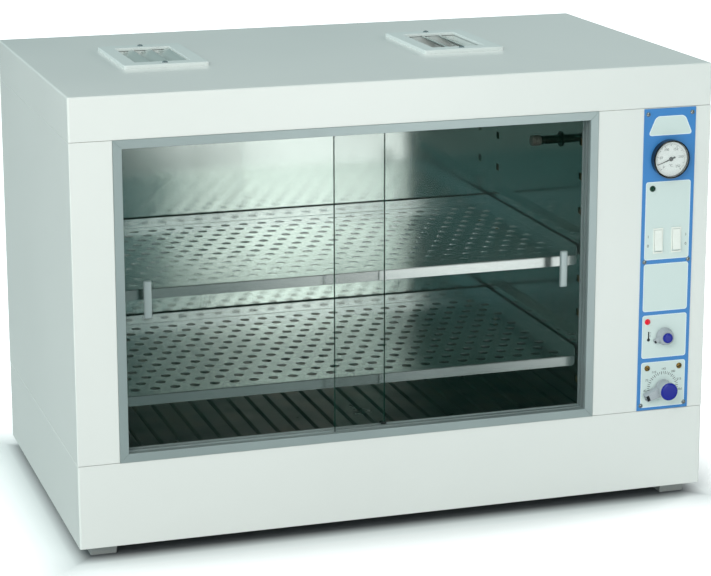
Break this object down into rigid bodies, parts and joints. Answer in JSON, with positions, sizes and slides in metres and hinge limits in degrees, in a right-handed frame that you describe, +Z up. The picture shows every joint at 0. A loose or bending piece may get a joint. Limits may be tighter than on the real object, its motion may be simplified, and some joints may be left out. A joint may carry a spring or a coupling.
{
  "type": "glassware drying oven",
  "caption": "Bench drying oven for glassware: a wide steel cabinet with sliding glass panes, perforated shelves, louvred roof vents and a column of controls at the right.",
  "frame": {"origin": "on the floor, under the middle of the whole object's box", "axes": "+X to the right along the front, the front faces -Y, +Z up"},
  "size_m": [1, 0.631, 0.701],
  "materials": {
    "casing_paint": "smooth off-white enamel",
    "vent_paint": "satin grey-white enamel",
    "blade_sheet": "satin grey-white enamel",
    "anodised": "satin anodised",
    "window_glass": "clear float glass",
    "stainless": "bright rolled stainless",
    "perforated_steel": "satin stainless",
    "floor_steel": "heat-darkened stainless",
    "heater_sheath": "dark oxidised tube",
    "wool": "mineral wool",
    "galvanised": "galvanised sheet",
    "screw_steel": "plated",
    "brass": "bare",
    "plate_paint": "blue enamel with pale fields",
    "bezel_black": "gloss",
    "dial_white": "matt white",
    "needle_black": "matt black",
    "clear_lens": "clear",
    "green_lens": "clear green",
    "red_lens": "clear red",
    "switch_white": "gloss",
    "knob_grey": "satin",
    "cap_blue": "gloss",
    "plated_shaft": "plated",
    "mechanism_grey": "moulded",
    "terminal_white": "moulded",
    "sensor_dark": "heat-darkened",
    "gland_grey": "moulded nylon",
    "foot_grey": "moulded",
    "clip_dark": "moulded",
    "pull_grey": "satin anodised"
  },
  "bodies": {
    "casing": {"back_panel": "casing_paint", "base_plinth": "casing_paint", "brass_screws": "brass", "cable_gland": "gland_grey", "casing_screws": "screw_steel", "chamber_liner": "stainless", "control_plate": "plate_paint", "feet": "foot_grey", "floor_plate": "floor_steel", "frame_bottom_rail": "anodised", "frame_left_stile": "anodised", "frame_right_stile": "anodised", "frame_top_rail": "anodised", "green_pilot_lamp": "green_lens", "heating_elements": "heater_sheath", "insulation_blanket": "wool", "left_side_panel": "casing_paint", "left_switch_housing": "switch_white", "left_vent_frame": "vent_paint", "limiter_body": "mechanism_grey", "lower_shelf": "perforated_steel", "lower_shelf_runners": "stainless", "plate_screws": "screw_steel", "red_pilot_lamp": "red_lens", "right_side_panel": "casing_paint", "right_switch_housing": "switch_white", "right_vent_frame": "vent_paint", "sensor_bulb": "sensor_dark", "sensor_socket": "sensor_dark", "terminal_block": "terminal_white", "thermometer_case": "bezel_black", "thermometer_dial": "dial_white", "thermometer_lens": "clear_lens", "thermostat_body": "mechanism_grey", "top_cover": "casing_paint", "upper_shelf": "perforated_steel", "upper_shelf_runners": "stainless", "vent_ducts": "galvanised"},
    "left_door": {"left_door_glass": "window_glass", "left_door_pull": "pull_grey", "left_door_guide": "clip_dark"},
    "right_door": {"right_door_glass": "window_glass", "right_door_pull": "pull_grey"},
    "left_rocker": {"left_switch_rocker": "switch_white"},
    "right_rocker": {"right_switch_rocker": "switch_white"},
    "thermostat_control": {"thermostat_knob": "knob_grey", "thermostat_knob_cap": "cap_blue", "thermostat_shaft": "plated_shaft"},
    "limiter_control": {"limiter_knob": "knob_grey", "limiter_knob_cap": "cap_blue", "limiter_shaft": "plated_shaft"},
    "needle": {"thermometer_needle": "needle_black"},
    "left_blade_1": {"left_vent_blade_1": "blade_sheet"},
    "left_blade_2": {"left_vent_blade_2": "blade_sheet"},
    "left_blade_3": {"left_vent_blade_3": "blade_sheet"},
    "left_tie_bar": {"left_vent_tie_bar": "blade_sheet"},
    "right_blade_1": {"right_vent_blade_1": "blade_sheet"},
    "right_blade_2": {"right_vent_blade_2": "blade_sheet"},
    "right_blade_3": {"right_vent_blade_3": "blade_sheet"},
    "right_tie_bar": {"right_vent_tie_bar": "blade_sheet"}
  },
  "joints": [
    {"name": "left_door_slide", "type": "slide", "parent": "casing", "child": "left_door", "axis": [1, 0, 0], "range_m": [0, 0.3175]},
    {"name": "right_door_slide", "type": "slide", "parent": "casing", "child": "right_door", "axis": [1, 0, 0], "range_m": [-0.325, 0]},
    {"name": "left_rocker_tilt", "type": "hinge", "parent": "casing", "child": "left_rocker", "pos_m": [0.41575, -0.2835, 0.41975], "axis": [1, 0, 0], "range_deg": [0, 16]},
    {"name": "right_rocker_tilt", "type": "hinge", "parent": "casing", "child": "right_rocker", "pos_m": [0.44625, -0.2835, 0.41975], "axis": [1, 0, 0], "range_deg": [0, 16]},
    {"name": "thermostat_turn", "type": "hinge", "parent": "casing", "child": "thermostat_control", "pos_m": [0.431, -0.2865, 0.182], "axis": [0, 1, 0], "range_deg": [0, 220]},
    {"name": "limiter_turn", "type": "hinge", "parent": "casing", "child": "limiter_control", "pos_m": [0.431, -0.2865, 0.266], "axis": [0, 1, 0], "range_deg": [0, 270]},
    {"name": "thermometer_needle_turn", "type": "hinge", "parent": "casing", "child": "needle", "pos_m": [0.431, -0.296, 0.5486], "axis": [0, 1, 0], "range_deg": [-24, 246]},
    {"name": "left_vent_blade_1_turn", "type": "hinge", "parent": "casing", "child": "left_blade_1", "pos_m": [-0.33217, 0.0315, 0.6908], "axis": [0, 1, 0], "range_deg": [-30, 30]},
    {"name": "left_vent_blade_2_turn", "type": "hinge", "parent": "casing", "child": "left_blade_2", "pos_m": [-0.3035, 0.0315, 0.6908], "axis": [0, 1, 0], "range_deg": [-30, 30]},
    {"name": "left_vent_blade_3_turn", "type": "hinge", "parent": "casing", "child": "left_blade_3", "pos_m": [-0.27483, 0.0315, 0.6908], "axis": [0, 1, 0], "range_deg": [-30, 30]},
    {"name": "left_vent_tie_bar_swing", "type": "hinge", "parent": "left_blade_1", "child": "left_tie_bar", "pos_m": [-0.33217, 0.0907, 0.6698], "axis": [0, 1, 0], "range_deg": [-30, 30]},
    {"name": "right_vent_blade_1_turn", "type": "hinge", "parent": "casing", "child": "right_blade_1", "pos_m": [0.20517, 0.0315, 0.6908], "axis": [0, -1, 0], "range_deg": [-30, 30]},
    {"name": "right_vent_blade_2_turn", "type": "hinge", "parent": "casing", "child": "right_blade_2", "pos_m": [0.1765, 0.0315, 0.6908], "axis": [0, -1, 0], "range_deg": [-30, 30]},
    {"name": "right_vent_blade_3_turn", "type": "hinge", "parent": "casing", "child": "right_blade_3", "pos_m": [0.14783, 0.0315, 0.6908], "axis": [0, -1, 0], "range_deg": [-30, 30]},
    {"name": "right_vent_tie_bar_swing", "type": "hinge", "parent": "right_blade_1", "child": "right_tie_bar", "pos_m": [0.20517, -0.0277, 0.6698], "axis": [0, -1, 0], "range_deg": [-30, 30]}
  ],
  "couplings": [
    {"joint": "left_vent_blade_2_turn", "follows": "left_vent_blade_1_turn", "ratio": 1},
    {"joint": "left_vent_blade_3_turn", "follows": "left_vent_blade_1_turn", "ratio": 1},
    {"joint": "left_vent_tie_bar_swing", "follows": "left_vent_blade_1_turn", "ratio": -1},
    {"joint": "right_vent_blade_2_turn", "follows": "right_vent_blade_1_turn", "ratio": 1},
    {"joint": "right_vent_blade_3_turn", "follows": "right_vent_blade_1_turn", "ratio": 1},
    {"joint": "right_vent_tie_bar_swing", "follows": "right_vent_blade_1_turn", "ratio": -1}
  ]
}
